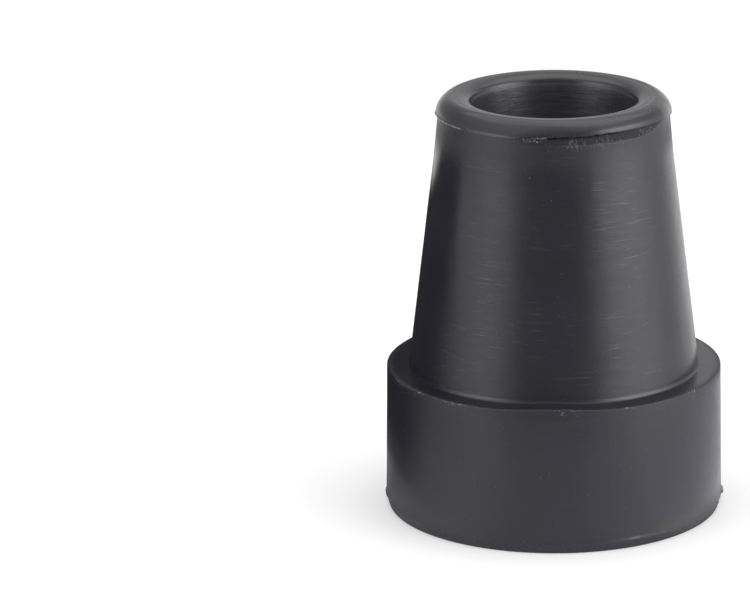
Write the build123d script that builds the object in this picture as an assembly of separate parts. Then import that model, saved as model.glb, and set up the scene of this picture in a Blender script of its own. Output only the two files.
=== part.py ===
from build123d import *
import os

# Rubber cane tip: one moulded body, turned about +Z, with the origin at the centre of its tread

# Foot: a low drum, widest at the mould's parting line, with a narrow band drawn in below it
foot_diameter = 38.0
foot_height = 16.3
foot_draw_in = 0.2
parting_height = 1.1
parting_bead_reach = 0.12
parting_bead_height = 0.5
tread_draw_in = 0.3
tread_edge_break = 0.3
shoulder_width = 2.5
shoulder_edge_break = 0.2

# Neck: tapers up from the shoulder to a wall round the socket, and flares a little just below the lip
neck_height = 29.2
neck_wall = 3.74
neck_flare_height = 4.75
neck_flare_reach = 0.12

# Lip: a rolled rim, a little flatter than an ellipse, that overhangs the neck at a mould seam
lip_height = 1.8
lip_overhang = 0.29
lip_belly_share = 0.66
mouth_roll_width = 2.4
mouth_roll_depth = 1.15

# Socket: a blind bore, left by a core pin, that grips the end of a shaft
socket_diameter = 18.0
socket_floor_chamfer = 1.5

# Tread: two ring grooves that leave a rim, a raised ring and a centre pad
tread_rim_width = 4.4
tread_ring_width = 3.1
tread_pad_diameter = 9.6
outer_groove_share = 0.55
groove_depth = 4.0
web_thickness = 8.3
groove_overrun = 1.0

# Radii, from the foot inwards and from the socket outwards
foot_radius = foot_diameter / 2
foot_top_radius = foot_radius - foot_draw_in
tread_radius = foot_radius - tread_draw_in
neck_root_radius = foot_top_radius - shoulder_width
socket_radius = socket_diameter / 2
neck_top_radius = socket_radius + neck_wall
neck_flared_radius = neck_top_radius + neck_flare_reach
lip_radius = neck_flared_radius + lip_overhang
crown_radius = socket_radius + mouth_roll_width

# Heights, from the tread upwards
socket_floor_height = groove_depth + web_thickness
seam_height = foot_height + neck_height
overall_height = seam_height + lip_height
mouth_roll_start = overall_height - mouth_roll_depth
flare_start_height = seam_height - neck_flare_height

# The straight taper's radius where the flare begins
neck_taper = (neck_root_radius - neck_top_radius) / neck_height
flare_start_radius = neck_top_radius + neck_taper * neck_flare_height

# The bead's two feet, on the band below the parting line and on the wall above it
bead_half_height = parting_bead_height / 2
bead_low_radius = foot_radius - tread_draw_in * bead_half_height / parting_height
bead_high_radius = foot_radius - foot_draw_in * bead_half_height / (foot_height - parting_height)

# The grooves share what the pad, the ring and the rim leave of the tread
pad_radius = tread_pad_diameter / 2
outer_groove_outside = tread_radius - tread_rim_width
groove_room = outer_groove_outside - pad_radius - tread_ring_width
outer_groove_width = groove_room * outer_groove_share
inner_groove_width = groove_room - outer_groove_width
outer_groove_inside = outer_groove_outside - outer_groove_width
inner_groove_outside = pad_radius + inner_groove_width


def corner(section, place):
    """The section's corner nearest to a place."""
    return section.vertices().sort_by_distance(place)[0]


def outer_section():
    """Half of the tip's section, from the tread up over the rolled lip and down into the socket."""
    wall = Polyline(
        (0, 0),
        (tread_radius, 0),
        (bead_low_radius, parting_height - bead_half_height),
        (foot_radius + parting_bead_reach, parting_height),
        (bead_high_radius, parting_height + bead_half_height),
        (foot_top_radius, foot_height),
        (neck_root_radius, foot_height),
        (flare_start_radius, flare_start_height),
        (neck_flared_radius, seam_height),
        (lip_radius, seam_height),
    )
    belly_radius = crown_radius + lip_belly_share * (lip_radius - crown_radius)
    belly_height = seam_height + lip_belly_share * lip_height
    lip_roll = ThreePointArc(wall @ 1, (belly_radius, belly_height), (crown_radius, overall_height))
    mouth_centre = (crown_radius, mouth_roll_start)
    mouth_roll = EllipticalCenterArc(mouth_centre, mouth_roll_width, mouth_roll_depth, 90, arc_size=90)
    socket_floor_edge = (socket_radius, socket_floor_height)
    socket = Polyline(mouth_roll @ 1, socket_floor_edge, (0, socket_floor_height), (0, 0))
    section = make_face([wall, lip_roll, mouth_roll, socket])
    section = chamfer(corner(section, (tread_radius, 0)), tread_edge_break)
    section = chamfer(corner(section, (foot_top_radius, foot_height)), shoulder_edge_break)
    return chamfer(corner(section, socket_floor_edge), socket_floor_chamfer)


def ring_groove(inside, outside):
    """The section of one tread groove, open below."""
    outline = Polyline(
        (inside, -groove_overrun),
        (outside, -groove_overrun),
        (outside, groove_depth),
        (inside, groove_depth),
        close=True,
    )
    return make_face(outline)


def cane_tip():
    """The whole tip as one turned solid."""
    section = outer_section()
    section -= ring_groove(outer_groove_inside, outer_groove_outside)
    section -= ring_groove(pad_radius, inner_groove_outside)
    return revolve(Plane.XZ * section, Axis.Z)


os.makedirs("parts", exist_ok=True)
export_step(cane_tip(), "parts/cane_tip.step")
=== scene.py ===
import math

import bpy
import numpy as np
from mathutils import Matrix, Vector
from mathutils.geometry import interpolate_bezier


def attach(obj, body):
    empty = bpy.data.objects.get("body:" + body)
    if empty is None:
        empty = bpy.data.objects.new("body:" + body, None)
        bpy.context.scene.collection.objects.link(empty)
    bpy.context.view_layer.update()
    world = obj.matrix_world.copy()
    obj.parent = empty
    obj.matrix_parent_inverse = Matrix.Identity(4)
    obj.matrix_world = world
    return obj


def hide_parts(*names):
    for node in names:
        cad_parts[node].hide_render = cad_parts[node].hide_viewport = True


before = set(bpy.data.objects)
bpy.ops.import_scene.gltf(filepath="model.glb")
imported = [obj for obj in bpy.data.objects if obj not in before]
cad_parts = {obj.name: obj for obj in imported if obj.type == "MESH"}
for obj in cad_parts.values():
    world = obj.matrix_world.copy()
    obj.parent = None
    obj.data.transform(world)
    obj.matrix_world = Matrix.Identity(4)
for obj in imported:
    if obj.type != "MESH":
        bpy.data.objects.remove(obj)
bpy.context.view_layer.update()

SEED = 19
chance = np.random.default_rng(SEED)

# The tip's lengths are in millimetres, its heights from the tread, its turns in degrees from the front
MM = 0.001

# Sizes that the rubber shares with the solid it replaces
FOOT_RADIUS = 19.0
FOOT_TOP_RADIUS = 18.8
FOOT_HEIGHT = 16.3
PARTING_HEIGHT = 1.1
TREAD_RADIUS = 18.7
NECK_ROOT_RADIUS = 16.3
FLARE_RADIUS = 13.319
FLARE_HEIGHT = 40.75
NECK_FLARED_RADIUS = 12.86
SEAM_HEIGHT = 45.50
SEAM_LIP_RADIUS = 13.12
CROWN_RADIUS = 11.4
MOUTH_ROLL_DEPTH = 1.15
SOCKET_RADIUS = 9.0
SOCKET_FLOOR = 12.3
SOCKET_CHAMFER = 1.5
PAD_RADIUS = 4.8
INNER_GROOVE_OUTSIDE = 7.68
OUTER_GROOVE_INSIDE = 10.78
OUTER_GROOVE_OUTSIDE = 14.3
GROOVE_DEPTH = 4.0
TOP = 47.3

# Bands of the wall just above the parting line and just below the seam
PARTING_BAND_HEIGHT = 0.5
PARTING_BAND_DRAW = 0.005
SEAM_BAND_HEIGHT = 1.0
SEAM_BAND_REACH = 0.10

# The crease where the neck stands on the shoulder
ROOT_CREASE_REACH = 0.10
ROOT_CREASE_RISE = 0.24
ROOT_CREASE_DRAW = 0.028

# The lip's roll as (radius, height, tilt, low handle, high handle): plain, on the left and on the right
LIP_PLAIN = (SEAM_LIP_RADIUS, SEAM_HEIGHT, 2.0, 0.85, 0.74)
LIP_LEFT = (13.19, 45.47, 9.0, 0.60, 0.66)
LIP_RIGHT = (13.15, 45.90, 6.0, 0.95, 0.80)
LIP_STEPS = 27

# The mouth's roll: where it ends, short of the socket's wall, and its sweep as (start, end, steps)
MOUTH_END_REACH = 0.3
MOUTH_END_RISE = 0.4
MOUTH_SWEEP = (90, 170, 20)

# The socket's entry as (reach past its wall, height above the mouth roll's start, longest step after it)
SOCKET_ENTRY = (
    (0.31, 0.48, 0.1),
    (0.15, -0.03, 0.05),
    (0.135, -0.25, 0.25),
    (0.12, -2.5, 0.4),
    (0.0, -5.0, 3.2),
)

# Roundings of the section's corners
TREAD_ROUNDING = 0.2
GROOVE_ROUNDING = 0.35
FOOT_EDGE_ROUNDING = 0.12
SHOULDER_ROUNDING = 0.16
ROOT_CREASE_ROUNDING = 0.02
NECK_ROOT_ROUNDING = 1.2
SOCKET_FLOOR_ROUNDING = 0.4

# Longest steps between the mesh's rings
PAD_STEP = 2.4
GROOVE_WALL_STEP = 2.0
GROOVE_FLOOR_STEP = 1.4
WALL_STEP = 1.0
EDGE_STEP = 0.12
SHOULDER_STEP = 0.5
NECK_STEP = 1.1
FLARE_STEP = 0.9
SEAM_BAND_STEP = 0.09
LEDGE_STEP = 0.05
SOCKET_CHAMFER_STEP = 0.6
SOCKET_FLOOR_STEP = 1.3

# The mesh: steps round the axis and in a corner, the ring that holds a corner, the least step, and the
# angle in degrees past which an edge is sharp
TURN_STEPS = 360
CORNER_STEPS = 4
HOLD = 0.12
LEAST_STEP = 0.01
SHARP_ANGLE = 50


def rounded(corners):
    """Points along a line through corners given as (radius, height, rounding, longest step after it)."""
    places = [Vector(corner[:2]) for corner in corners]
    arcs = []
    for i, (_, _, rounding, _) in enumerate(corners):
        if not rounding:
            arcs.append([places[i]])
            continue
        back = (places[i - 1] - places[i]).normalized()
        ahead = (places[i + 1] - places[i]).normalized()
        half = back.angle(ahead) / 2
        centre = places[i] + (back + ahead).normalized() * (rounding / math.sin(half))
        first = places[i] + back * (rounding / math.tan(half)) - centre
        last = places[i] + ahead * (rounding / math.tan(half)) - centre
        sweep = math.atan2(first.cross(last), first.dot(last))
        turns = [sweep * n / CORNER_STEPS for n in range(CORNER_STEPS + 1)]
        arcs.append([centre + Matrix.Rotation(turn, 2) @ first for turn in turns])
    points = []
    for i, arc in enumerate(arcs):
        points += arc
        if i + 1 == len(arcs):
            break
        start, end = arc[-1], arcs[i + 1][0]
        run = (end - start).length
        low = HOLD if corners[i][2] else 0.0
        high = run - HOLD if corners[i + 1][2] else run
        count = max(1, math.ceil((high - low) / corners[i][3]))
        marks = [low + (high - low) * n / count for n in range(count + 1)]
        points += [start.lerp(end, mark / run) for mark in marks if LEAST_STEP < mark < run - LEAST_STEP]
    return points


def arc(centre, reach, rise, start, end, steps):
    """Points along an ellipse between two angles in degrees, without the first one."""
    turns = [math.radians(start + (end - start) * n / steps) for n in range(1, steps + 1)]
    return [Vector((centre[0] + reach * math.cos(t), centre[1] + rise * math.sin(t))) for t in turns]


def lip_roll(radius, height, tilt, low_handle, high_handle):
    """Points of the lip's roll, from its lower edge, which leans in by a tilt in degrees, to the crown."""
    lean = math.radians(tilt)
    low_end = (radius - low_handle * math.sin(lean), height + low_handle * math.cos(lean))
    high_end = (CROWN_RADIUS + high_handle, TOP)
    return interpolate_bezier((radius, height), low_end, high_end, (CROWN_RADIUS, TOP), LIP_STEPS)


# Half section, from the middle of the tread outwards, up the wall, over the lip and down into the socket
outside = rounded([
    (0.0, 0.0, 0.0, PAD_STEP),
    (PAD_RADIUS, 0.0, TREAD_ROUNDING, GROOVE_WALL_STEP),
    (PAD_RADIUS, GROOVE_DEPTH, GROOVE_ROUNDING, GROOVE_FLOOR_STEP),
    (INNER_GROOVE_OUTSIDE, GROOVE_DEPTH, GROOVE_ROUNDING, GROOVE_WALL_STEP),
    (INNER_GROOVE_OUTSIDE, 0.0, TREAD_ROUNDING, GROOVE_FLOOR_STEP),
    (OUTER_GROOVE_INSIDE, 0.0, TREAD_ROUNDING, GROOVE_WALL_STEP),
    (OUTER_GROOVE_INSIDE, GROOVE_DEPTH, GROOVE_ROUNDING, GROOVE_FLOOR_STEP),
    (OUTER_GROOVE_OUTSIDE, GROOVE_DEPTH, GROOVE_ROUNDING, GROOVE_WALL_STEP),
    (OUTER_GROOVE_OUTSIDE, 0.0, TREAD_ROUNDING, WALL_STEP),
    (TREAD_RADIUS, 0.0, FOOT_EDGE_ROUNDING, EDGE_STEP),
    (FOOT_RADIUS, PARTING_HEIGHT, 0.0, EDGE_STEP),
    (FOOT_RADIUS - PARTING_BAND_DRAW, PARTING_HEIGHT + PARTING_BAND_HEIGHT, 0.0, WALL_STEP),
    (FOOT_TOP_RADIUS, FOOT_HEIGHT, SHOULDER_ROUNDING, SHOULDER_STEP),
    (NECK_ROOT_RADIUS + ROOT_CREASE_REACH, FOOT_HEIGHT, ROOT_CREASE_ROUNDING, EDGE_STEP),
    (NECK_ROOT_RADIUS - ROOT_CREASE_DRAW, FOOT_HEIGHT + ROOT_CREASE_RISE, NECK_ROOT_ROUNDING, NECK_STEP),
    (FLARE_RADIUS, FLARE_HEIGHT, 0.0, FLARE_STEP),
    (NECK_FLARED_RADIUS + SEAM_BAND_REACH, SEAM_HEIGHT - SEAM_BAND_HEIGHT, 0.0, SEAM_BAND_STEP),
    (NECK_FLARED_RADIUS, SEAM_HEIGHT, 0.0, LEDGE_STEP),
    (SEAM_LIP_RADIUS, SEAM_HEIGHT, 0.0, LEDGE_STEP),
])
lip = lip_roll(*LIP_PLAIN)[1:]
mouth_roll_start = TOP - MOUTH_ROLL_DEPTH
mouth_centre = (CROWN_RADIUS, mouth_roll_start + MOUTH_END_RISE)
mouth_reach = CROWN_RADIUS - SOCKET_RADIUS - MOUTH_END_REACH
mouth = arc(mouth_centre, mouth_reach, MOUTH_ROLL_DEPTH - MOUTH_END_RISE, *MOUTH_SWEEP)
socket_entry = [
    (SOCKET_RADIUS + reach, mouth_roll_start + rise, 0.0, step) for reach, rise, step in SOCKET_ENTRY
]
socket = rounded(socket_entry + [
    (SOCKET_RADIUS, SOCKET_FLOOR + SOCKET_CHAMFER, SOCKET_FLOOR_ROUNDING, SOCKET_CHAMFER_STEP),
    (SOCKET_RADIUS - SOCKET_CHAMFER, SOCKET_FLOOR, SOCKET_FLOOR_ROUNDING, SOCKET_FLOOR_STEP),
    (0.0, SOCKET_FLOOR, 0.0, SOCKET_FLOOR_STEP),
])
profile = np.array(outside + lip + mouth + socket)

# Each place on the surface is a ring of the section and an angle round the axis
radius, height = profile[1:-1, :1], profile[1:-1, 1:]
ring = np.arange(len(radius))[:, None]
lip_starts = len(outside) - 1
mouth_starts = lip_starts + len(lip)
socket_starts = mouth_starts + len(mouth)
angle = np.linspace(0, 2 * math.pi, TURN_STEPS, endpoint=False)[None, :]
# The turn is 0 at the front, negative to the left, positive to the right and 180 at the back
turn = (np.degrees(angle) + 90 + 180) % 360 - 180


def bell(value, middle, width):
    """1 at the middle, falling off smoothly on both sides."""
    return np.exp(-(((value - middle) / width) ** 2))


def span(value, low, high, soft):
    """1 between low and high, falling to 0 over a soft margin at each end."""
    share = np.clip(np.minimum(value - low, high - value) / soft + 0.5, 0, 1)
    return share * share * (3 - 2 * share)


def patches(level, table):
    """The sum of patches, each given as (strength, its span of heights from a level, its span of turns)."""
    spans = [strength * span(height - level, *rise) * span(turn, *turns) for strength, rise, turns in table]
    return sum(spans)


def ragged(lowest, highest):
    """An irregular line round the axis, between -1 and 1, of lowest to highest waves a turn."""
    counts = np.arange(lowest, highest + 1)[:, None]
    starts = chance.uniform(0, 2 * math.pi, counts.shape)
    line = np.cos(counts * angle + starts).sum(axis=0, keepdims=True)
    return line / np.abs(line).max()


def ripples(waves, most_per_turn, pitch):
    """A smooth irregular field over the surface, between -1 and 1."""
    field = 0 * (angle + height)
    for _ in range(waves):
        around = chance.integers(1, most_per_turn)
        upward = chance.uniform(-1, 1) * 2 * math.pi / pitch
        field += np.cos(around * angle + upward * height + chance.uniform(0, 2 * math.pi))
    return field / np.abs(field).max()


# Where each part of the surface is, with the margins that tell neighbouring parts apart
EDGE_MARGIN = 0.05
WALL_MARGIN = 0.1
NECK_MARGIN = 0.2
NECK_CLEAR_OF_FOOT = 1.5
NECK_CLEAR_OF_SEAM = 1.2
NECK_SOFT = 1.5
FOOT_CLEAR = 0.8
CROWN_RISE = 0.6
on_wall = (ring < lip_starts) & (radius > NECK_FLARED_RADIUS - NECK_MARGIN) & (height > EDGE_MARGIN)
on_wall &= (height > GROOVE_DEPTH + WALL_MARGIN) | (radius > TREAD_RADIUS - WALL_MARGIN)
neck_ends = (FOOT_HEIGHT + NECK_CLEAR_OF_FOOT, SEAM_HEIGHT - NECK_CLEAR_OF_SEAM)
on_neck = span(height, *neck_ends, NECK_SOFT) * on_wall
on_foot = span(height, PARTING_HEIGHT + FOOT_CLEAR, FOOT_HEIGHT - FOOT_CLEAR, FOOT_CLEAR) * on_wall
on_tread = (height < GROOVE_DEPTH + WALL_MARGIN) & (radius < TREAD_RADIUS + EDGE_MARGIN)
on_tread &= ring < lip_starts
on_crown = (ring >= lip_starts) & (ring < socket_starts) & (height > SEAM_HEIGHT + CROWN_RISE)
on_mouth = (ring >= mouth_starts) & (height > mouth_roll_start - WALL_MARGIN)
on_socket = ring >= socket_starts

# The surface's places, which the sections below shift. There a name in TURNS, HEIGHTS or RADII is a span as
# (from, to, soft), a name in TURN is a bell as (middle, width), and WAVES are the fewest and most a turn
radii = radius + 0 * angle
heights = height + 0 * angle

# The moulded walls are a little uneven, with ripples as (waves, most per turn, pitch)
NECK_UNEVEN = 0.015
NECK_RIPPLES = (40, 40, 6.0)
FOOT_UNEVEN = 0.012
FOOT_RIPPLES = (40, 40, 7.0)
radii += NECK_UNEVEN * on_neck * ripples(*NECK_RIPPLES)
radii += FOOT_UNEVEN * on_foot * ripples(*FOOT_RIPPLES)

# The shoulder stands a little higher at the front
SHOULDER_LIFT = 0.32
SHOULDER_LIFT_HEIGHTS = (-1.2, 1.5, 1.2)
SHOULDER_LIFT_TURN = (-1, 15)
at_shoulder = span(height - FOOT_HEIGHT, *SHOULDER_LIFT_HEIGHTS) * on_wall
heights += SHOULDER_LIFT * at_shoulder * bell(turn, *SHOULDER_LIFT_TURN)

# Flash at the parting line: a thin uneven bead, with torn teeth on the right and a step on the left
FLASH_REACH = 0.02
FLASH_UNEVEN = 0.03
FLASH_WAVES = (6, 90)
FLASH_TORN_REACH = 0.24
FLASH_TORN_TURNS = (86, 95, 3)
FLASH_TOOTH_REACH = 0.18
FLASH_TOOTH_TURN = (75.5, 1.6)
FLASH_STEP_REACH = 0.10
FLASH_STEP_TURNS = (-92, -82, 4)
FLASH_THICKNESS = 0.13
flash = FLASH_REACH + FLASH_UNEVEN * ragged(*FLASH_WAVES)
flash = flash + FLASH_TORN_REACH * span(turn, *FLASH_TORN_TURNS)
flash = flash + FLASH_TOOTH_REACH * bell(turn, *FLASH_TOOTH_TURN)
flash = flash + FLASH_STEP_REACH * span(turn, *FLASH_STEP_TURNS)
radii += np.maximum(flash, 0) * bell(height, PARTING_HEIGHT, FLASH_THICKNESS) * on_wall

# On the front right the band below the parting line is drawn in further, and the wall above it swells
BAND_DRAW_IN = 0.05
BAND_HEIGHTS = (0.15, PARTING_HEIGHT - EDGE_MARGIN, 0.15)
BAND_TURNS = (8, 84, 14)
SWELL_REACH = 0.055
SWELL_HEIGHT = 0.9
SWELL_TURNS = (20, 46, 10)
radii -= BAND_DRAW_IN * span(height, *BAND_HEIGHTS) * span(turn, *BAND_TURNS) * on_wall
swell = np.clip((PARTING_HEIGHT + SWELL_HEIGHT - height) / SWELL_HEIGHT, 0, 1) ** 2
swell = swell * (height > PARTING_HEIGHT - EDGE_MARGIN)
radii += SWELL_REACH * swell * span(turn, *SWELL_TURNS) * on_wall

# Lip: its roll and its lower edge change shape on the left and on the right
LIP_LEFT_TURNS = (-47, -15, 12)
LIP_RIGHT_PLACES = (-12, -7, 0, 16, 23, 67, 81)
LIP_RIGHT_SHARES = (0, 0.15, 0.65, 0.75, 1, 1, 0)
LEDGE_MARGIN = 0.01
lip_rings = slice(lip_starts, mouth_starts)
lip_shares = (
    (LIP_LEFT, span(turn, *LIP_LEFT_TURNS)),
    (LIP_RIGHT, np.interp(turn, LIP_RIGHT_PLACES, LIP_RIGHT_SHARES)),
)
ledge_share = np.clip((radius - NECK_FLARED_RADIUS) / (SEAM_LIP_RADIUS - NECK_FLARED_RADIUS), 0, 1)
ledge_share = ledge_share * on_wall * (height > SEAM_HEIGHT - LEDGE_MARGIN)
below_seam = np.clip((height - SEAM_HEIGHT) / SEAM_BAND_HEIGHT + 1, 0, 1) * on_wall
for shape, share in lip_shares:
    change = np.array(lip_roll(*shape))[1:] - np.array(lip)
    radii[lip_rings] += change[:, :1] * share
    heights[lip_rings] += change[:, 1:] * share
    radii += (shape[0] - SEAM_LIP_RADIUS) * ledge_share * share
    heights += (shape[1] - SEAM_HEIGHT) * below_seam * share

# Seam under the lip: an uneven edge, with raised flash on the left and tatters at the front
SEAM_EDGE_DEPTH = 0.05
SEAM_EDGE_HEIGHT = 0.10
SEAM_UNEVEN = 0.02
SEAM_WAVES = (10, 120)
SEAM_FLASH_REACH = 0.12
SEAM_FLASH_TURNS = (-88, -46, 6)
TATTER_DROP = 0.20
TATTER_WAVES = (50, 180)
TATTER_LEAST_SHARE = 0.2
TATTER_TURNS = (-15, 34, 6)
seam_edge = bell(radius, SEAM_LIP_RADIUS, SEAM_EDGE_DEPTH) * bell(height, SEAM_HEIGHT, SEAM_EDGE_HEIGHT)
seam_reach = SEAM_UNEVEN * ragged(*SEAM_WAVES) + SEAM_FLASH_REACH * span(turn, *SEAM_FLASH_TURNS)
radii += seam_edge * seam_reach
tatters = TATTER_DROP * np.maximum(ragged(*TATTER_WAVES), 0)
tatter_share = TATTER_LEAST_SHARE + (1 - TATTER_LEAST_SHARE) * span(turn, *TATTER_TURNS)
heights -= seam_edge * tatters * tatter_share

# Below the seam, from the front to the right: a torn band, a groove above it and a frayed bead at its foot
TORN_DEPTH = 0.05
TORN_TURNS = (-14, 66, 14)
TORN_DROP = 0.88
TORN_RISE_PLACES = (46, 57, 66)
TORN_RISES = (0, 0.16, 0.6)
TORN_UNEVEN = 0.07
TORN_WAVES = (20, 150)
TORN_SOFT = 0.12
TORN_LIMIT = 1.2
LIP_MARGIN = 0.02
GROOVE_UNDER_LIP_DEPTH = 0.26
GROOVE_UNDER_LIP_TURNS = (-8, 32, 8)
GROOVE_UNDER_LIP_SHARES = (0.3, 0.7)
GROOVE_UNDER_LIP_DROP = 0.03
GROOVE_UNDER_LIP_HEIGHT = 0.17
FRAYED_BEAD_REACH = 0.05
FRAYED_BEAD_LEAST_SHARE = 0.4
FRAYED_BEAD_WAVES = (70, 190)
FRAYED_BEAD_HEIGHT = 0.10
on_right = span(turn, *TORN_TURNS)
torn_foot = SEAM_HEIGHT - TORN_DROP + np.interp(turn, TORN_RISE_PLACES, TORN_RISES)
torn_foot = torn_foot + TORN_UNEVEN * ragged(*TORN_WAVES)
under_lip = on_wall & (radius < SEAM_LIP_RADIUS - LIP_MARGIN) & (height > SEAM_HEIGHT - TORN_LIMIT)
# The torn band's mask also darkens its colour, as painted shade under the lip as well as torn rubber
torn_and_painted_shade = under_lip * on_right * np.clip((height - torn_foot) / TORN_SOFT, 0, 1)
radii -= TORN_DEPTH * torn_and_painted_shade
groove_share = GROOVE_UNDER_LIP_SHARES[0] * on_right
groove_share = groove_share + GROOVE_UNDER_LIP_SHARES[1] * span(turn, *GROOVE_UNDER_LIP_TURNS)
groove = bell(height, SEAM_HEIGHT - GROOVE_UNDER_LIP_DROP, GROOVE_UNDER_LIP_HEIGHT) * under_lip
radii -= GROOVE_UNDER_LIP_DEPTH * groove * groove_share
frayed_bead = FRAYED_BEAD_REACH * (FRAYED_BEAD_LEAST_SHARE + np.maximum(ragged(*FRAYED_BEAD_WAVES), 0))
radii += frayed_bead * bell(height, torn_foot, FRAYED_BEAD_HEIGHT) * under_lip * on_right

# Crown: a faint crease round the top, clearest on the right, a nick at the back, and fine ring marks
CREASE_DEPTH = 0.05
CREASE_RADIUS = 11.05
CREASE_WANDER = 0.06
CREASE_WAVES = (2, 9)
CREASE_WIDTH = 0.11
CREASE_SHARES = (0.2, 0.8, 0.5)
CREASE_RIGHT_TURNS = (25, 130, 20)
CREASE_LEFT_TURNS = (-120, -60, 20)
NICK_DEPTH = 0.08
NICK_TURN = (166, 0.8)
NICK_RADII = (10.5, 11.5, 0.3)
RING_MARK_HEIGHT = 0.0025
RING_MARK_PITCH = 0.45
RING_MARK_WANDER = 2
RING_MARK_WAVES = (2, 12)
RING_MARK_BREAK_WAVES = (5, 60)
crease_radius = CREASE_RADIUS + CREASE_WANDER * ragged(*CREASE_WAVES)
crease_share = CREASE_SHARES[0] + CREASE_SHARES[1] * span(turn, *CREASE_RIGHT_TURNS)
crease_share = crease_share + CREASE_SHARES[2] * span(turn, *CREASE_LEFT_TURNS)
heights -= CREASE_DEPTH * on_crown * bell(radius, crease_radius, CREASE_WIDTH) * crease_share
nick = on_crown * bell(turn, *NICK_TURN) * span(radius, *NICK_RADII)
heights -= NICK_DEPTH * nick
ring_marks = np.sin(2 * math.pi * radius / RING_MARK_PITCH + RING_MARK_WANDER * ragged(*RING_MARK_WAVES))
ring_marks = ring_marks * (1 + ragged(*RING_MARK_BREAK_WAVES)) / 2
heights += RING_MARK_HEIGHT * on_crown * ring_marks

# Socket: draw marks round the wall, and a scuffed patch on the mouth's left at the back
DRAW_MARK_DEPTH = 0.003
DRAW_MARK_RIPPLES = (30, 4, 0.7)
DRAW_MARK_CLEAR = 3
DRAW_MARK_HEIGHTS = (SOCKET_FLOOR + DRAW_MARK_CLEAR, TOP, 1)
MOUTH_PATCH_ROUGH = 0.004
MOUTH_PATCH = ((1.0, (0, 0.65, 0.15), (-160, -134, 6)),)
radii -= DRAW_MARK_DEPTH * on_socket * span(height, *DRAW_MARK_HEIGHTS) * ripples(*DRAW_MARK_RIPPLES)
mouth_patch = on_mouth * patches(mouth_roll_start, MOUTH_PATCH)
radii += MOUTH_PATCH_ROUGH * mouth_patch * chance.normal(size=radii.shape)

# Wear, for the pale flecks in the finish, and on the left seam flash and the back-left mouth roll pale
# flecks that are partly a painted highlight. A table holds patches, with heights from the place that it
# names
SHOULDER_EDGE_INSET = 0.1
SHOULDER_EDGE_WIDTH = 0.28
SHOULDER_EDGE_HEIGHT = 0.3
SHOULDER_WEAR = 0.35
CHIP_WEAR = 0.5
CHIP_TURNS = ((-72, -50, 6), (-42, -28, 5), (1, 10, 3))
CHIP_SPOTS = ((27, 3), (55, 5))
SEAM_WEAR = (
    (0.95, (-0.45, 0.15, 0.2), (-15, -3, 3)),
    (0.57, (-0.9, 0.0, 0.3), (44, 63, 8)),
    (0.475, (-0.5, 0.0, 0.3), (-58, -12, 8)),
    (0.5225, (-1.3, -0.6, 0.4), (-4, 40, 8)),
)
SEAM_LINE_WEAR = 0.475
SEAM_LINE_RISE = 0.05
SEAM_LINE_HEIGHT = 0.12
SEAM_LINE_TURNS = (-6, 62, 6)
SEAM_WEAR_RINGS = 3
SEAM_FLASH_WEAR_AND_HIGHLIGHT = ((2.0, (-88, -50, 8)), (0.7, (-50, -30, 8)))
MOUTH_PATCH_WEAR_AND_HIGHLIGHT = 0.45
CROWN_WEAR = 0.38
CROWN_WEAR_RADII = (11.2, 12.7, 0.4)
CROWN_WEAR_TURNS = (30, 80, 12)
MOUTH_WEAR = ((0.32, (0.1, MOUTH_ROLL_DEPTH - 0.1, 0.3), (-60, 70, 20)),)
NECK_WEAR = ((0.22, (-5, 0, 2), (40, 95, 12)),)
PARTING_WEAR = 0.25
PARTING_WEAR_DROP = 0.3
PARTING_WEAR_HEIGHT = 0.5
TREAD_WEAR = 0.35
TREAD_WEAR_INSET = 0.3
TREAD_WEAR_WIDTH = 0.5
shoulder_edge = bell(radius, FOOT_TOP_RADIUS - SHOULDER_EDGE_INSET, SHOULDER_EDGE_WIDTH)
shoulder_edge = shoulder_edge * bell(height, FOOT_HEIGHT - SHOULDER_EDGE_INSET, SHOULDER_EDGE_HEIGHT)
chipped = sum(span(turn, *turns) for turns in CHIP_TURNS) + sum(bell(turn, *spot) for spot in CHIP_SPOTS)
wear_and_painted_highlight = shoulder_edge * (SHOULDER_WEAR + CHIP_WEAR * np.minimum(chipped, 1))
seam_line = bell(height, SEAM_HEIGHT + SEAM_LINE_RISE, SEAM_LINE_HEIGHT) * span(turn, *SEAM_LINE_TURNS)
seam_wear = patches(SEAM_HEIGHT, SEAM_WEAR) + SEAM_LINE_WEAR * seam_line
wear_and_painted_highlight += seam_wear * (ring < lip_starts + SEAM_WEAR_RINGS) * (height > FOOT_HEIGHT)
# Pale wear along the left seam flash, partly a painted highlight where the flash catches light
wear_and_painted_highlight += seam_edge * sum(strength * span(turn, *turns) for strength, turns in SEAM_FLASH_WEAR_AND_HIGHLIGHT)
# Pale flecks on the back-left mouth roll, partly a painted highlight
wear_and_painted_highlight += MOUTH_PATCH_WEAR_AND_HIGHLIGHT * mouth_patch
wear_and_painted_highlight += CROWN_WEAR * on_crown * span(radius, *CROWN_WEAR_RADII) * span(turn, *CROWN_WEAR_TURNS)
wear_and_painted_highlight += on_mouth * patches(mouth_roll_start, MOUTH_WEAR)
wear_and_painted_highlight += on_wall * patches(SEAM_HEIGHT, NECK_WEAR)
wear_and_painted_highlight += PARTING_WEAR * bell(height, PARTING_HEIGHT - PARTING_WEAR_DROP, PARTING_WEAR_HEIGHT) * on_wall
wear_and_painted_highlight += TREAD_WEAR * bell(radius, TREAD_RADIUS - TREAD_WEAR_INSET, TREAD_WEAR_WIDTH) * on_tread

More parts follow.
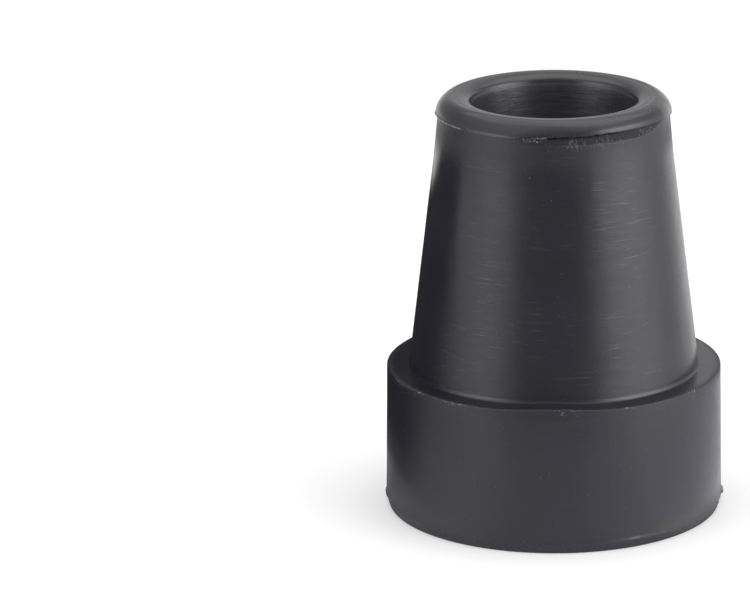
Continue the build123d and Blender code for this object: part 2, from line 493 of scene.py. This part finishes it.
# Other marks in the finish, with painted shade at the shoulder's edge and painted light in the socket
FRAYED = (
    (0.8, (-1.4, -0.05, 0.6), (6, 16, 6)),
    (0.8, (-1.1, -0.1, 0.6), (17, 30, 8)),
    (0.5, (-0.5, 0.0, 0.2), (-14, -4, 3)),
)
SMUDGE_TURN = (2.5, 3)
SMUDGE_RISE = 0.22
SHOULDER_TORN_AND_SHADE_SHARE = 0.8
SOCKET_FINISH_RISE = 0.30
SOCKET_FINISH_SOFT = 0.40
FOOT_SCUFF_SHARE = 0.2
DULLED_HEIGHTS = (-3.4, 0, 2.4)
STAIN = ((1.0, (0.1, 1.0, 0.6), (36, 58, 10)),)
smudge = bell(turn, *SMUDGE_TURN) * bell(height, SEAM_HEIGHT + SMUDGE_RISE, SMUDGE_RISE)
smudge = smudge * (ring >= lip_starts)
# Darkened colour: the torn band, partly painted shade under the lip; the nick, painted shade in its recess;
# the shoulder's edge, painted shade in place of its highlight; and a smudge on the lip
dark = np.maximum(np.maximum(torn_and_painted_shade, nick), np.maximum(SHOULDER_TORN_AND_SHADE_SHARE * shoulder_edge, smudge))
inside = np.clip((mouth_roll_start + SOCKET_FINISH_RISE - height) / SOCKET_FINISH_SOFT, 0, 1) * on_socket
masks = {
    "wear_and_painted_highlight": wear_and_painted_highlight,
    "torn_and_painted_shade": dark,
    "frayed": on_wall * patches(SEAM_HEIGHT, FRAYED),
    "dulled": on_wall * span(height - SEAM_HEIGHT, *DULLED_HEIGHTS),
    "stain": on_wall * patches(PARTING_HEIGHT, STAIN),
    "scuffed": on_neck + FOOT_SCUFF_SHARE * on_foot,
    "socket": inside,
    "tread": on_tread,
}


def build_mesh(name, first, last):
    """A closed mesh from the rings of points, with a point on the axis at each end."""
    rings, steps = radii.shape
    points = np.stack([radii * np.cos(angle), radii * np.sin(angle), heights], axis=2).reshape(-1, 3)
    points = np.vstack([points, [[0, 0, first], [0, 0, last]]]) * MM
    index = np.arange(rings * steps).reshape(rings, steps)
    ahead = np.roll(index, -1, axis=1)
    quads = np.stack([index[:-1], ahead[:-1], ahead[1:], index[1:]], axis=2).reshape(-1, 4)
    start, end = rings * steps, rings * steps + 1
    fans = [(start, b, a) for a, b in zip(index[0], ahead[0])]
    fans += [(end, a, b) for a, b in zip(index[-1], ahead[-1])]
    mesh = bpy.data.meshes.new(name)
    mesh.from_pydata(points.tolist(), [], quads.tolist() + [tuple(map(int, fan)) for fan in fans])
    mesh.shade_smooth()
    mesh.set_sharp_from_angle(angle=math.radians(SHARP_ANGLE))
    return mesh


def add_mask(mesh, name, mask):
    """Keeps a mask on the mesh's points for its material."""
    mask = mask + 0.0 * radii
    ends = [mask[0].mean(), mask[-1].mean()]
    layer = mesh.attributes.new(name, "FLOAT", "POINT")
    layer.data.foreach_set("value", np.append(mask, ends).astype(np.float32))


def add_object(name, data):
    """Puts a mesh, a lamp or a camera into the scene."""
    made = bpy.data.objects.new(name, data)
    bpy.context.scene.collection.objects.link(made)
    return made


mesh = build_mesh("rubber_tip", profile[0, 1], profile[-1, 1])
for name, mask in masks.items():
    add_mask(mesh, name, mask)
tip = add_object("rubber_tip", mesh)
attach(tip, "root")
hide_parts("cane_tip")


def node(tree, kind, inputs=None, **options):
    """Adds a node, sets its options, and fills its inputs from values or from other nodes' outputs."""
    made = tree.nodes.new(kind)
    for name, value in options.items():
        setattr(made, name, value)
    for name, value in (inputs or {}).items():
        if isinstance(value, bpy.types.NodeSocket):
            tree.links.new(value, made.inputs[name])
        else:
            made.inputs[name].default_value = value
    return made


def calc(tree, operation, first, second):
    """The result of an operation on two values."""
    return node(tree, "ShaderNodeMath", {0: first, 1: second}, operation=operation).outputs["Value"]


def ease(tree, value, limits, levels=(0.0, 1.0), kind="SMOOTHSTEP"):
    """A level that goes from the first to the second as a value crosses its limits."""
    inputs = {"Value": value, "From Min": limits[0], "From Max": limits[1]}
    inputs.update({"To Min": levels[0], "To Max": levels[1]})
    return node(tree, "ShaderNodeMapRange", inputs, interpolation_type=kind).outputs["Result"]


def mix(tree, share, first, second):
    """A value between two others."""
    return node(tree, "ShaderNodeMix", {0: share, 2: first, 3: second}).outputs[0]


def mix_shaders(tree, share, first, second):
    """A shader between two others."""
    return node(tree, "ShaderNodeMixShader", {0: share, 1: first, 2: second}).outputs["Shader"]


# The rubber's finish: scales and stretches are waves per metre, edges are the levels of noise between which
# a mark fades in, and wear is how far a mask shifts the noise
RUBBER_DARK = (0.0115, 0.0109, 0.0160, 1)
RUBBER_LIGHT = (0.0198, 0.0189, 0.0260, 1)
MOTTLE_SCALE = 160.0
DUST_SCALE = 420.0
DUST_SIZE = 0.05
DUST_RARITY = 0.82
FLECK_SCALE = 5200.0
FLECK_WEAR_AND_HIGHLIGHT = 0.24
FLECK_EDGES = (0.74, 0.81)
BARE_SCALE = 2600.0
BARE_WEAR_AND_HIGHLIGHT = 0.22
BARE_EDGES = (0.80, 0.95)
THREAD_STRETCH = (4600, 4600, 2000)
THREAD_WEAR = 0.23
THREAD_EDGES = (0.70, 0.78)
PATCH_SCALE = 170.0
PATCH_EDGES = (0.40, 0.58)
STREAK_STRETCH = (330, 330, 3600)
STREAK_EDGES = (0.57, 0.74)
BRUSH_STRETCH = (3200, 160, 160)
BRUSH_EDGES = (0.45, 0.75)

# Coats over the rubber as (mark, strength, colour), from the lowest to the highest
COATS = (
    # The dark coat is painted shade under the lip, in the nick and at the shoulder's edge, as well as torn
    # rubber
    ("torn_and_painted_shade", 0.7, (0.008, 0.008, 0.010, 1)),
    # The socket's lighter colour is painted light inside the bore
    ("socket", 1.0, (0.028, 0.027, 0.032, 1)),
    ("stain", 0.6, (0.042, 0.038, 0.022, 1)),
    ("scuffs", 0.28, (0.06, 0.06, 0.062, 1)),
    ("threads", 0.55, (0.09, 0.09, 0.093, 1)),
    ("specks", 0.7, (0.16, 0.16, 0.165, 1)),
    ("bare", 0.8, (0.38, 0.38, 0.39, 1)),
)

# Roughness: the least, how far it varies, and what the masks add
ROUGH_LEAST = 0.17
ROUGH_RANGE = 0.14
ROUGH_SCALE = 700.0
ROUGH_TREAD = 0.2
ROUGH_TORN = 0.38
ROUGH_SOCKET = 0.08
ROUGH_DULLED = 0.20
ROUGH_FLECK = 0.25

# Relief finer than the mesh, with depths in metres
GRAIN_SCALE = 4200.0
GRAIN_DEPTH = 1.2e-6
WAVE_STRETCH = (300, 300, 900)
WAVE_DEPTH = 2.5e-5
LINE_STRETCH = (300, 300, 9000)
LINE_DEPTH = 4e-6
MARK_DEPTH = 9e-6
FLECK_RISE = 2.0
FINE_MARK_STRETCH = (400, 400, 160000)
FINE_MARK_MIDDLE = 0.42
FINE_MARK_TILT = 1.7


def rubber_material():
    """Black rubber: mottled, satin, with scuffs, dust and pale flecks where it is worn or painted as
    highlight, painted shade in dark marks and a socket lightened as painted light.
    """
    material = bpy.data.materials.new("rubber")
    material.use_nodes = True
    tree = material.node_tree
    shader = tree.nodes["Principled BSDF"]
    place = node(tree, "ShaderNodeTexCoord").outputs["Object"]

    def times(first, second):
        """The product of two values."""
        return calc(tree, "MULTIPLY", first, second)

    def plus(first, second):
        """The sum of two values."""
        return calc(tree, "ADD", first, second)

    def most(first, second):
        """The larger of two values."""
        return calc(tree, "MAXIMUM", first, second)

    def noise(detail, scale=1.0, stretch=(1, 1, 1)):
        """Cloudy noise, which may be finer along some axes."""
        across = node(tree, "ShaderNodeVectorMath", {0: place, 1: stretch}, operation="MULTIPLY")
        inputs = {"Vector": across.outputs["Vector"], "Scale": scale, "Detail": detail}
        return node(tree, "ShaderNodeTexNoise", inputs).outputs["Fac"]

    def mask(name):
        """One of the masks kept on the mesh."""
        return node(tree, "ShaderNodeAttribute", attribute_name=name).outputs["Fac"]

    def bump(relief, depth, below=None):
        """The way the surface faces with a relief laid over what is below it."""
        inputs = {"Height": relief, "Distance": depth}
        if below:
            inputs["Normal"] = below
        return node(tree, "ShaderNodeBump", inputs).outputs["Normal"]

    def blend(share, first, second):
        """A colour between two others."""
        return node(tree, "ShaderNodeMix", {0: share, 6: first, 7: second}, data_type="RGBA").outputs[2]

    # Dust: a few round specks in the cells of a scattered pattern
    cells = node(tree, "ShaderNodeTexVoronoi", {"Vector": place, "Scale": DUST_SCALE})
    dice = node(tree, "ShaderNodeSeparateColor", {"Color": cells.outputs["Color"]})
    size = times(dice.outputs["Green"], DUST_SIZE)
    size = times(size, calc(tree, "GREATER_THAN", dice.outputs["Red"], DUST_RARITY))
    speck = calc(tree, "LESS_THAN", cells.outputs["Distance"], size)

    # Flecks: torn pale bits that crowd where the surface is worn, and where they are partly a painted
    # highlight
    fleck = plus(noise(detail=2.0, scale=FLECK_SCALE), times(mask("wear_and_painted_highlight"), FLECK_WEAR_AND_HIGHLIGHT))
    fleck = ease(tree, fleck, FLECK_EDGES)
    bare = plus(noise(detail=2.0, scale=BARE_SCALE), times(mask("wear_and_painted_highlight"), BARE_WEAR_AND_HIGHLIGHT))
    bare = ease(tree, bare, BARE_EDGES)

    # Threads: upright torn fibres below the seam
    threads = plus(noise(detail=3.0, stretch=THREAD_STRETCH), times(mask("frayed"), THREAD_WEAR))
    threads = ease(tree, threads, THREAD_EDGES)

    # Scuffs: short level streaks on the walls, and straight brush marks across the tread
    streaks = ease(tree, noise(detail=3.0, stretch=STREAK_STRETCH), STREAK_EDGES)
    streaks = times(streaks, ease(tree, noise(detail=3.0, scale=PATCH_SCALE), PATCH_EDGES))
    streaks = times(streaks, mask("scuffed"))
    brushed = times(ease(tree, noise(detail=2.0, stretch=BRUSH_STRETCH), BRUSH_EDGES), mask("tread"))
    scuffs = most(streaks, brushed)

    marks = {name: mask(name) for name in ("torn_and_painted_shade", "socket", "stain")}
    marks.update({"scuffs": scuffs, "threads": threads, "specks": most(speck, fleck), "bare": bare})
    colour = blend(noise(detail=4.0, scale=MOTTLE_SCALE), RUBBER_DARK, RUBBER_LIGHT)
    for name, strength, coat in COATS:
        colour = blend(times(marks[name], strength), colour, coat)
    tree.links.new(colour, shader.inputs["Base Color"])

    rough = plus(times(noise(detail=3.0, scale=ROUGH_SCALE), ROUGH_RANGE), ROUGH_LEAST)
    dull = most(times(mask("tread"), ROUGH_TREAD), times(mask("torn_and_painted_shade"), ROUGH_TORN))
    rough = plus(rough, most(dull, times(mask("socket"), ROUGH_SOCKET)))
    rough = plus(rough, times(mask("dulled"), ROUGH_DULLED))
    tree.links.new(plus(rough, times(fleck, ROUGH_FLECK)), shader.inputs["Roughness"])

    facing = bump(noise(detail=2.0, scale=GRAIN_SCALE), GRAIN_DEPTH)
    facing = bump(noise(detail=3.0, stretch=WAVE_STRETCH), WAVE_DEPTH, facing)
    facing = bump(times(noise(detail=3.0, stretch=LINE_STRETCH), mask("socket")), LINE_DEPTH, facing)
    facing = bump(plus(scuffs, times(fleck, FLECK_RISE)), MARK_DEPTH, facing)

    # Fine draw marks: rings too close to see one by one, which spread the socket's reflections up and down
    tipped = calc(tree, "SUBTRACT", noise(detail=2.0, stretch=FINE_MARK_STRETCH), FINE_MARK_MIDDLE)
    tipped = times(times(tipped, FINE_MARK_TILT), mask("socket"))
    tipped = node(tree, "ShaderNodeCombineXYZ", {"Z": tipped}).outputs["Vector"]
    facing = node(tree, "ShaderNodeVectorMath", {0: facing, 1: tipped}, operation="ADD").outputs["Vector"]
    facing = node(tree, "ShaderNodeVectorMath", {0: facing}, operation="NORMALIZE").outputs["Vector"]
    tree.links.new(facing, shader.inputs["Normal"])
    return material


tip.data.materials.append(rubber_material())

# Floor, in metres: a pale disc that keeps the shadow, fades out with distance and has a hole under the foot
FLOOR_RADIUS = 0.30
FLOOR_HOLE = 0.0182
FLOOR_RINGS = 12
FLOOR_STEPS = 96
FLOOR_FADE = (0.10, 0.24)
FLOOR_LIFT = 0.27
FLOOR_COLOUR = (0.70, 0.70, 0.70, 1)

# The floor's level in reflections, by turn: away from the foot, and near where the foot meets it. The lower
# levels near the foot are a painted contact shadow, and the low levels on the left are painted shade
FLOOR_MIRROR_FADE = (0.05, 0.12)
FLOOR_CONTACT = (0.0185, 0.023)
FLOOR_TINT = (1.0, 0.982, 1.05, 1)
FLOOR_MIRRORED = {
    -180: 0.9, -130: 0.30, -95: 0.30, -70: 0.70, -45: 1.12, -15: 0.86, 10: 0.86, 30: 1.10,
    55: 1.45, 85: 1.15, 125: 0.75, 180: 0.9,
}
FLOOR_MIRRORED_NEAR = {
    -180: 0.4, -130: 0.1, -95: 0.1, -75: 0.15, -50: 0.45, -30: 0.75, 0: 0.85, 35: 0.80, 50: 0.70,
    70: 0.28, 110: 0.22, 180: 0.4,
}
RAMP_TOP = 4.0


def by_turn(tree, along_x, along_y, levels):
    """A level that follows the turn from the front, from levels given at turns in degrees."""
    turned = calc(tree, "ARCTAN2", along_x, calc(tree, "MULTIPLY", along_y, -1.0))
    share = ease(tree, turned, (-math.pi, math.pi), kind="LINEAR")
    ramp = node(tree, "ShaderNodeValToRGB", {"Fac": share})
    stops = ramp.color_ramp.elements
    for turn_there, level_there in levels.items():
        at = (turn_there + 180) / 360
        if at == 0:
            stop = stops[0]
        elif at == 1:
            stop = stops[-1]
        else:
            stop = stops.new(at)
        stop.color = (*[level_there / RAMP_TOP] * 3, 1)
    return calc(tree, "MULTIPLY", ramp.outputs["Color"], RAMP_TOP)


def floor_material():
    """Pale and matt to the camera, a level by turn in reflections, and clear far away and from below."""
    material = bpy.data.materials.new("floor")
    material.use_nodes = True
    tree = material.node_tree
    tree.nodes.clear()
    place = node(tree, "ShaderNodeTexCoord").outputs["Object"]
    distance = node(tree, "ShaderNodeVectorMath", {0: place}, operation="LENGTH").outputs["Value"]
    rays = node(tree, "ShaderNodeLightPath").outputs

    pale = node(tree, "ShaderNodeBsdfDiffuse", {"Color": FLOOR_COLOUR}).outputs["BSDF"]
    lift = calc(tree, "MULTIPLY", rays["Is Camera Ray"], FLOOR_LIFT)
    glow = node(tree, "ShaderNodeEmission", {"Strength": lift}).outputs["Emission"]
    lit = node(tree, "ShaderNodeAddShader", {0: pale, 1: glow}).outputs["Shader"]

    aside = node(tree, "ShaderNodeSeparateXYZ", {"Vector": place}).outputs
    mirrored = by_turn(tree, aside["X"], aside["Y"], FLOOR_MIRRORED)
    near = by_turn(tree, aside["X"], aside["Y"], FLOOR_MIRRORED_NEAR)
    mirrored = mix(tree, ease(tree, distance, FLOOR_CONTACT, kind="LINEAR"), near, mirrored)
    even = node(tree, "ShaderNodeEmission", {"Color": FLOOR_TINT, "Strength": mirrored}).outputs["Emission"]
    lit = mix_shaders(tree, rays["Is Glossy Ray"], lit, even)

    below = node(tree, "ShaderNodeNewGeometry").outputs["Backfacing"]
    clear_share = calc(tree, "MAXIMUM", ease(tree, distance, FLOOR_FADE), below)
    mirror_clear = calc(tree, "MULTIPLY", ease(tree, distance, FLOOR_MIRROR_FADE), rays["Is Glossy Ray"])
    clear_share = calc(tree, "MAXIMUM", clear_share, mirror_clear)
    clear = node(tree, "ShaderNodeBsdfTransparent").outputs["BSDF"]
    node(tree, "ShaderNodeOutputMaterial", {"Surface": mix_shaders(tree, clear_share, lit, clear)})
    return material


def grid_faces(rows, columns, closed):
    """Faces of a grid of points, whose columns may close round to the first one."""
    last = columns if closed else columns - 1
    corners = ((0, 0), (1, 0), (1, 1), (0, 1))
    return [
        tuple((row + down) * columns + (column + along) % columns for down, along in corners)
        for row in range(rows - 1) for column in range(last)
    ]


floor_radii = np.geomspace(FLOOR_HOLE, FLOOR_RADIUS, FLOOR_RINGS)
floor_angles = np.linspace(0, 2 * math.pi, FLOOR_STEPS, endpoint=False)
floor_points = [(r * math.cos(a), r * math.sin(a), 0) for r in floor_radii for a in floor_angles]
floor_mesh = bpy.data.meshes.new("floor")
floor_mesh.from_pydata(floor_points, [], grid_faces(FLOOR_RINGS, FLOOR_STEPS, True))
floor_mesh.materials.append(floor_material())
floor = add_object("floor", floor_mesh)

# World: white to the camera, and else a room with a soft light on each side, dim in front, bright behind.
# Limits are shares of a direction: Z up, X to the right, Y to the back
ROOM_FRONT = (0.28, 0.95)
ROOM_FRONT_LIMITS = (0.2, 1.0)
ROOM_BACK = (1.0, 0.64)
ROOM_BACK_LIMITS = (-0.08, 0.16)
ROOM_BACK_LEFT = (1.0, 0.6)
ROOM_BACK_LEFT_LIMITS = (-0.05, 0.15)
ROOM_LEFT_TO_RIGHT = (-0.45, -0.05)
ROOM_FRONT_TO_BACK = (0.35, 0.9)
SIDE_LIGHTS = {
    -180: 0.0, -120: 0.15, -95: 0.54, -60: 1.1, -45: 0.93, -35: 0.40, -25: 0.06, -15: 0.0, 18: 0.0,
    28: 0.12, 38: 0.66, 50: 1.44, 65: 1.88, 78: 2.0, 90: 1.65, 105: 0.92, 125: 0.42, 150: 0.2, 180: 0.0,
}
SIDE_LIGHTS_TOP = (1.0, 0.45)
SIDE_LIGHTS_TOP_LIMITS = (0.22, 0.48)
SIDE_LIGHTS_RISE = (0.95, 1.15)
SIDE_LIGHTS_RISE_LIMITS = (-0.15, 0.15)
HIGH_SIDE_LIGHTS = {
    -180: 0.0, -92: 0.0, -74: 1.1, -54: 1.9, -40: 0.7, -30: 0.0, 34: 0.0, 44: 1.5, 58: 3.1,
    75: 2.7, 92: 0.9, 106: 0.0, 180: 0.0,
}
HIGH_SIDE_LIGHTS_FOOT_LIMITS = (-0.05, 0.10)
HIGH_SIDE_LIGHTS_TOP_LIMITS = (0.34, 0.52)


def studio_world():
    """The room that lights the tip and shows in its reflections."""
    world = bpy.data.worlds.new("studio")
    world.use_nodes = True
    tree = world.node_tree
    tree.nodes.clear()
    direction = node(tree, "ShaderNodeTexCoord").outputs["Generated"]
    direction = node(tree, "ShaderNodeSeparateXYZ", {"Vector": direction}).outputs
    across, along, up = direction["X"], direction["Y"], direction["Z"]

    back = ease(tree, up, ROOM_BACK_LIMITS, ROOM_BACK)
    back_left = calc(tree, "MULTIPLY", back, ease(tree, up, ROOM_BACK_LEFT_LIMITS, ROOM_BACK_LEFT))
    back = mix(tree, ease(tree, across, ROOM_LEFT_TO_RIGHT), back_left, back)
    front = ease(tree, up, ROOM_FRONT_LIMITS, ROOM_FRONT)
    room = mix(tree, ease(tree, along, ROOM_FRONT_TO_BACK), front, back)

    sides = by_turn(tree, across, along, SIDE_LIGHTS)
    sides = calc(tree, "MULTIPLY", sides, ease(tree, up, SIDE_LIGHTS_TOP_LIMITS, SIDE_LIGHTS_TOP))
    sides = calc(tree, "MULTIPLY", sides, ease(tree, up, SIDE_LIGHTS_RISE_LIMITS, SIDE_LIGHTS_RISE))
    room = calc(tree, "ADD", room, sides)

    high = by_turn(tree, across, along, HIGH_SIDE_LIGHTS)
    high = calc(tree, "MULTIPLY", high, ease(tree, up, HIGH_SIDE_LIGHTS_FOOT_LIMITS))
    high = calc(tree, "MULTIPLY", high, ease(tree, up, HIGH_SIDE_LIGHTS_TOP_LIMITS, (1.0, 0.0)))
    room = calc(tree, "ADD", room, high)

    seen = node(tree, "ShaderNodeLightPath").outputs["Is Camera Ray"]
    level = mix(tree, seen, room, 1.0)
    background = node(tree, "ShaderNodeBackground", {"Color": (1, 1, 1, 1), "Strength": level})
    node(tree, "ShaderNodeOutputWorld", {"Surface": background.outputs["Background"]})
    return world


bpy.context.scene.world = studio_world()

# Softbox: azimuth in degrees from the camera's side towards the right, sizes and distance in metres
OBJECT_MIDDLE = Vector((0, 0, 0.024))


def softbox(name, azimuth, lift, distance, width, tall, radiance):
    """A rectangular lamp that faces the object, with its brightness given as radiance."""
    around, above = math.radians(azimuth), math.radians(lift)
    level = math.cos(above)
    away = Vector((math.sin(around) * level, -math.cos(around) * level, math.sin(above)))
    lamp = bpy.data.lights.new(name, "AREA")
    lamp.shape = "RECTANGLE"
    lamp.size = width
    lamp.size_y = tall
    lamp.energy = radiance * math.pi * width * tall
    made = add_object(name, lamp)
    made.location = OBJECT_MIDDLE + away * distance
    made.rotation_mode = "QUATERNION"
    made.rotation_quaternion = (-away).to_track_quat("-Z", "Y")


softbox("overhead_softbox", azimuth=180, lift=69, distance=0.8, width=1.1, tall=0.70, radiance=0.95)

# Flag, in metres: a dark curved card, seen only in reflections, that keeps the rubber's left edges dark.
# Its near edge leans and fades differently by height, and its far end, its foot and its top fade out
FLAG_RADIUS = 0.030
FLAG_TURNS = (-46, -100, -112, -122, -130, -178)
FLAG_TOPS = (0.0425, 0.0425, 0.0415, 0.036, 0.034, 0.034)
FLAG_EDGE_HEIGHTS = (0, 0.0175, 0.032)
FLAG_EDGE_TURNS = (-82, -70, -77.5)
FLAG_EDGE_SOFT = (16, 20, 5)
FLAG_END_SOFT = 24
FLAG_FOOT_HEIGHTS = (0.0005, 0.0045)
FLAG_FOOT_SHARES = (0.6, 1)
FLAG_TOP_SOFT = 0.003
FLAG_STEPS = 66
FLAG_RINGS = 24
FLAG_COLOUR = (0.06, 0.06, 0.063, 1)


def flag_material():
    """A dark card that lets light through where its cover is thin."""
    material = bpy.data.materials.new("flag")
    material.use_nodes = True
    tree = material.node_tree
    tree.nodes.clear()
    cover = node(tree, "ShaderNodeAttribute", attribute_name="cover").outputs["Fac"]
    card = node(tree, "ShaderNodeBsdfDiffuse", {"Color": FLAG_COLOUR}).outputs["BSDF"]
    clear = node(tree, "ShaderNodeBsdfTransparent").outputs["BSDF"]
    node(tree, "ShaderNodeOutputMaterial", {"Surface": mix_shaders(tree, cover, clear, card)})
    return material


def flag_mesh():
    """The card as a strip of a cylinder round the tip, with its cover at each point."""
    turns = np.linspace(FLAG_TURNS[0], FLAG_TURNS[-1], FLAG_STEPS)[:, None]
    tops = np.interp(-turns, np.negative(FLAG_TURNS), FLAG_TOPS)
    levels = tops * np.linspace(0, 1, FLAG_RINGS)[None, :]
    edge = np.interp(levels, FLAG_EDGE_HEIGHTS, FLAG_EDGE_TURNS)
    soft = np.interp(levels, FLAG_EDGE_HEIGHTS, FLAG_EDGE_SOFT)
    cover = np.clip((edge + soft - turns) / (2 * soft), 0, 1)
    cover = cover * cover * (3 - 2 * cover)
    cover *= np.interp(levels, FLAG_FOOT_HEIGHTS, FLAG_FOOT_SHARES)
    cover *= np.clip((tops - levels) / FLAG_TOP_SOFT, 0, 1)
    cover *= np.interp(turns, (FLAG_TURNS[-1], FLAG_TURNS[-1] + FLAG_END_SOFT), (0, 1))
    around = np.radians(turns) + 0 * levels
    points = np.stack([FLAG_RADIUS * np.sin(around), -FLAG_RADIUS * np.cos(around), levels], axis=2)
    mesh = bpy.data.meshes.new("flag")
    mesh.from_pydata(points.reshape(-1, 3).tolist(), [], grid_faces(FLAG_STEPS, FLAG_RINGS, False))
    layer = mesh.attributes.new("cover", "FLOAT", "POINT")
    layer.data.foreach_set("value", cover.astype(np.float32).ravel())
    mesh.materials.append(flag_material())
    return mesh


flag = add_object("flag", flag_mesh())
flag.visible_camera = False
flag.visible_diffuse = False
flag.visible_shadow = False

# Camera: far away with a long lens, turned a little to the left so that the tip stands right of the middle
IMAGE_WIDTH = 750
FOCAL_PIXELS = 4518.0
ASIDE_PIXELS = 178.6
SENSOR_WIDTH = 36.0
CAMERA_PLACE = Vector((0, -0.48694, 0.16870))
CAMERA_PITCH = 0.29099
CAMERA_NEAR = 0.01
CAMERA_FAR = 10.0
camera = add_object("camera", bpy.data.cameras.new("camera"))
camera.data.sensor_width = SENSOR_WIDTH
camera.data.lens = SENSOR_WIDTH * FOCAL_PIXELS / IMAGE_WIDTH
camera.data.clip_start = CAMERA_NEAR
camera.data.clip_end = CAMERA_FAR
up = Vector((0, math.sin(CAMERA_PITCH), math.cos(CAMERA_PITCH)))
ahead = Vector((-ASIDE_PIXELS / FOCAL_PIXELS, math.cos(CAMERA_PITCH), -math.sin(CAMERA_PITCH))).normalized()
right = ahead.cross(up)
camera.matrix_world = Matrix.Translation(CAMERA_PLACE) @ Matrix((right, up, -ahead)).transposed().to_4x4()
bpy.context.scene.camera = camera
bpy.context.scene.view_settings.view_transform = "Standard"
